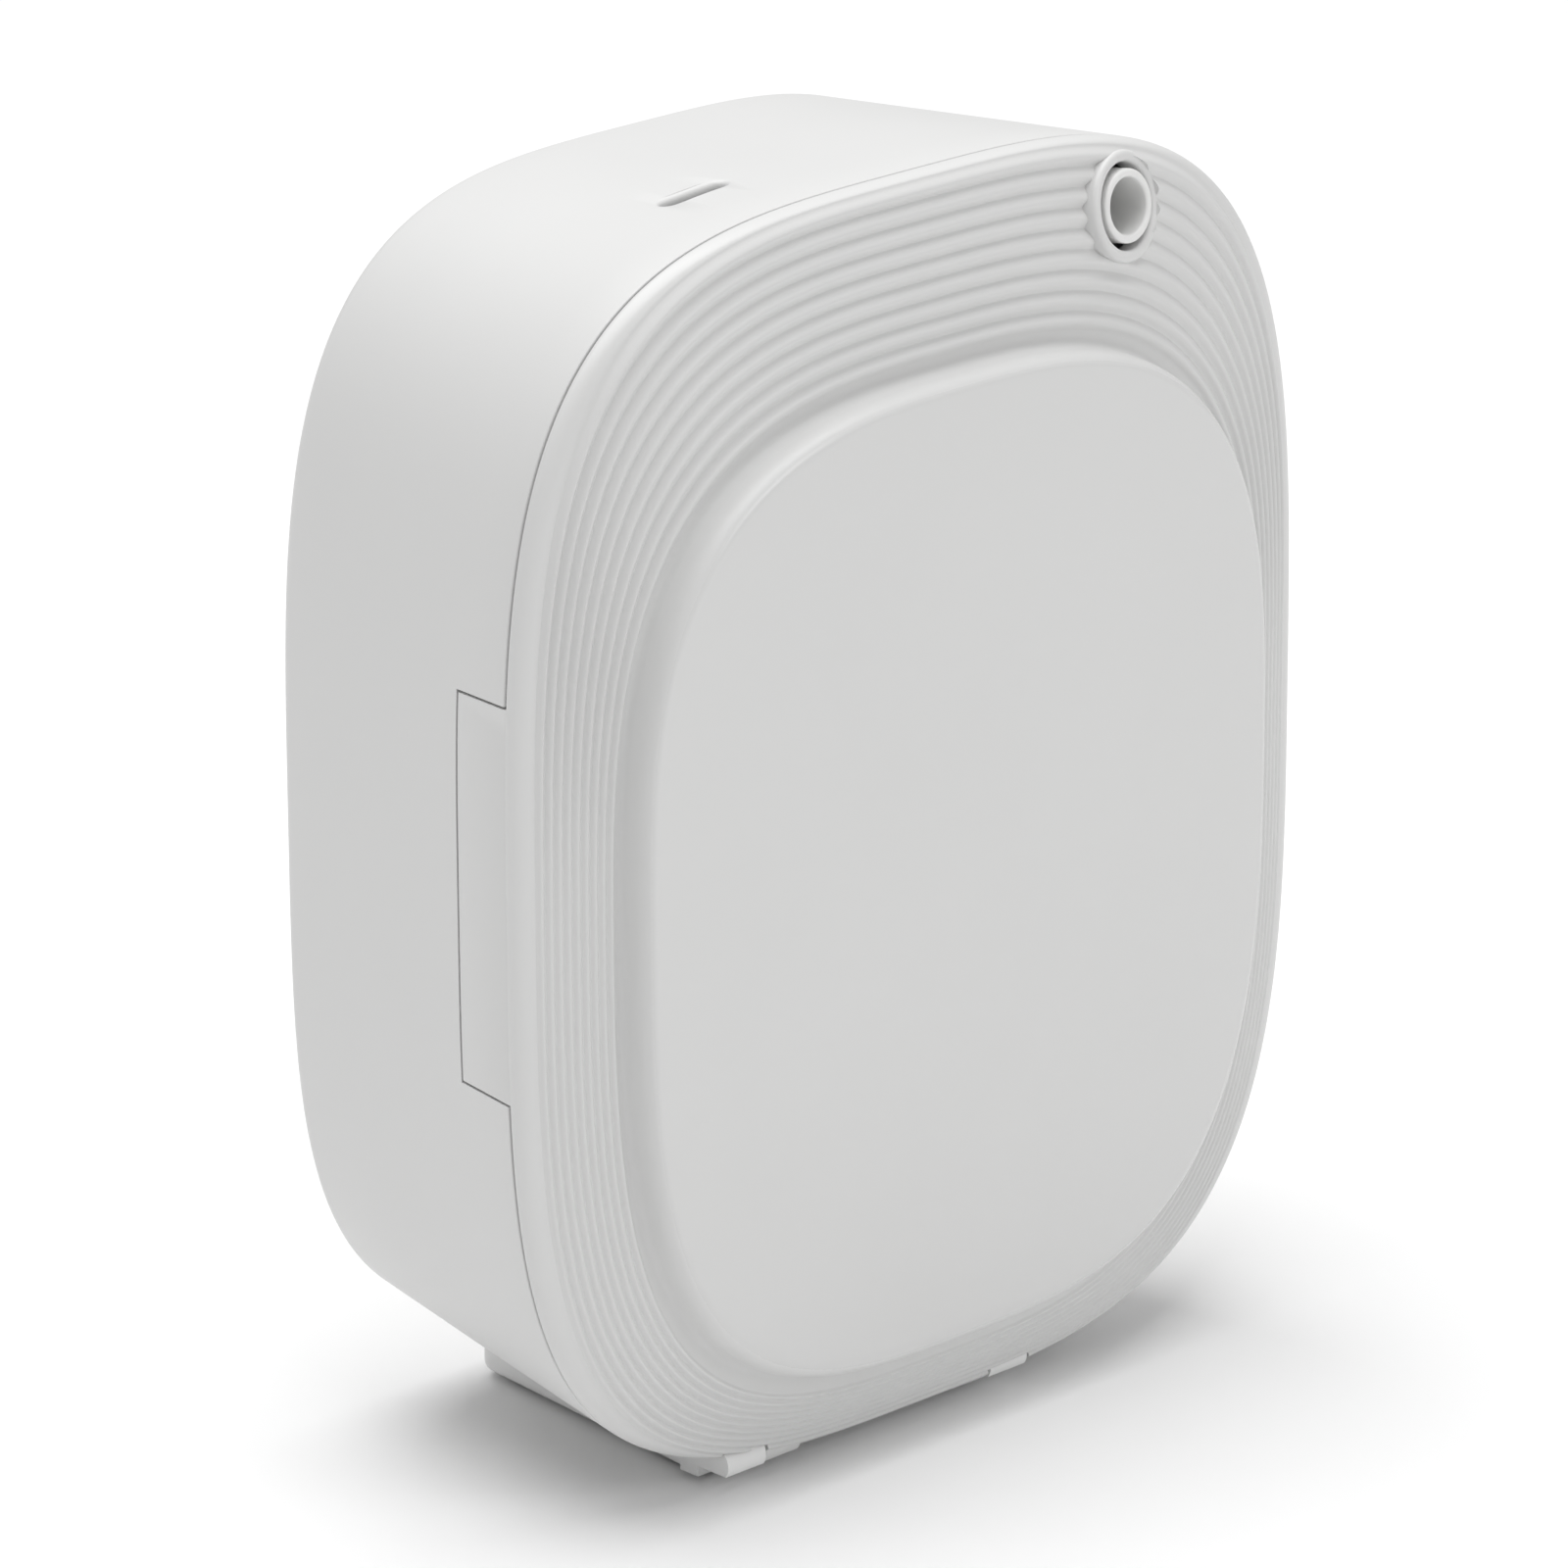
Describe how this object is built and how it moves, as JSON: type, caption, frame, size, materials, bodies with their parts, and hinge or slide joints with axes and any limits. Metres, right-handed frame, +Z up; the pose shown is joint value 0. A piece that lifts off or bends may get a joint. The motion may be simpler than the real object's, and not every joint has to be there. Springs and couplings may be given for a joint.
{
  "type": "wall-mounted scent diffuser",
  "caption": "Rounded white scent diffuser with a ribbed, bottom-hinged front cover, corner outlet tube, top key slot and low foot; oil bottle, air pump and controls inside.",
  "frame": {"origin": "on the surface that the rubber pads stand on, under the middle of the bounding box", "axes": "+X to the right seen from the front, +Y from the front to the back, +Z up"},
  "size_m": [0.176, 0.0804, 0.2137],
  "materials": {
    "housing_white": "fine satin moulded ABS",
    "cover_white": "fine satin moulded ABS",
    "deck_white": "satin moulded ABS",
    "grey_plastic": "satin",
    "black_plastic": "satin",
    "foot_rubber": "matte",
    "seal_rubber": "matte",
    "steel": "zinc plated",
    "motor_steel": "drawn can",
    "board_green": "solder mask",
    "lens_black": "polished",
    "bottle_milky": "blown HDPE",
    "hose_clear": "silicone",
    "cell_wrap": "shrink sleeve"
  },
  "bodies": {
    "housing": {"rear_housing": "housing_white", "foot_block": "housing_white", "foot_pad_1": "foot_rubber", "foot_pad_2": "foot_rubber", "foot_pad_3": "foot_rubber", "foot_pad_4": "foot_rubber", "foot_screw_1": "steel", "foot_screw_2": "steel", "hinge_pin_left": "steel", "hinge_pin_right": "steel", "inner_deck": "deck_white", "deck_screw_1": "steel", "deck_screw_2": "steel", "deck_screw_3": "steel", "deck_screw_4": "steel", "control_board": "board_green", "board_screw_1": "steel", "board_screw_2": "steel", "board_screw_3": "steel", "board_screw_4": "steel", "display_lens": "lens_black", "display_module": "grey_plastic", "switch_body": "black_plastic", "latch_guide": "deck_white", "latch_spring": "steel", "oil_bottle": "bottle_milky", "bottle_collar": "deck_white", "bottle_seal": "seal_rubber", "bottle_mat": "seal_rubber", "atomiser_head": "deck_white", "dip_tube": "bottle_milky", "outlet_tube": "housing_white", "pump_motor": "motor_steel", "pump_head": "grey_plastic", "pump_cradle": "seal_rubber", "pump_screw_1": "steel", "pump_screw_2": "steel", "air_hose": "hose_clear", "battery_holder": "black_plastic", "battery_cell_1": "cell_wrap", "battery_cell_2": "cell_wrap", "power_inlet": "black_plastic"},
    "cover": {"front_cover": "cover_white"},
    "latch": {"latch_slider": "grey_plastic"},
    "rocker": {"power_rocker": "black_plastic"},
    "crank": {"pump_crank": "steel"},
    "first_key": {"key_1": "grey_plastic"},
    "second_key": {"key_2": "grey_plastic"},
    "third_key": {"key_3": "grey_plastic"},
    "fourth_key": {"key_4": "grey_plastic"}
  },
  "joints": [
    {"name": "cover_hinge", "type": "hinge", "parent": "housing", "child": "cover", "pos_m": [0, -0.0272, 0.0046], "axis": [1, 0, 0], "range_deg": [0, 60]},
    {"name": "latch_press", "type": "slide", "parent": "housing", "child": "latch", "axis": [0, 0, -1], "range_m": [0, 0.003], "stiffness_N_per_m": 300, "springref_m": -0.003, "deforming": ["latch_spring"]},
    {"name": "rocker_tilt", "type": "hinge", "parent": "housing", "child": "rocker", "pos_m": [-0.057, -0.0158, 0.1187], "axis": [-1, 0, 0], "range_deg": [0, 16]},
    {"name": "crank_spin", "type": "hinge", "parent": "housing", "child": "crank", "pos_m": [-0.036, 0.0118, 0.0567], "axis": [1, 0, 0], "continuous": true},
    {"name": "first_key_press", "type": "slide", "parent": "housing", "child": "first_key", "axis": [0, 1, 0], "range_m": [0, 0.0006], "stiffness_N_per_m": 800, "springref_m": -0.0004},
    {"name": "second_key_press", "type": "slide", "parent": "housing", "child": "second_key", "axis": [0, 1, 0], "range_m": [0, 0.0006], "stiffness_N_per_m": 800, "springref_m": -0.0004},
    {"name": "third_key_press", "type": "slide", "parent": "housing", "child": "third_key", "axis": [0, 1, 0], "range_m": [0, 0.0006], "stiffness_N_per_m": 800, "springref_m": -0.0004},
    {"name": "fourth_key_press", "type": "slide", "parent": "housing", "child": "fourth_key", "axis": [0, 1, 0], "range_m": [0, 0.0006], "stiffness_N_per_m": 800, "springref_m": -0.0004}
  ]
}
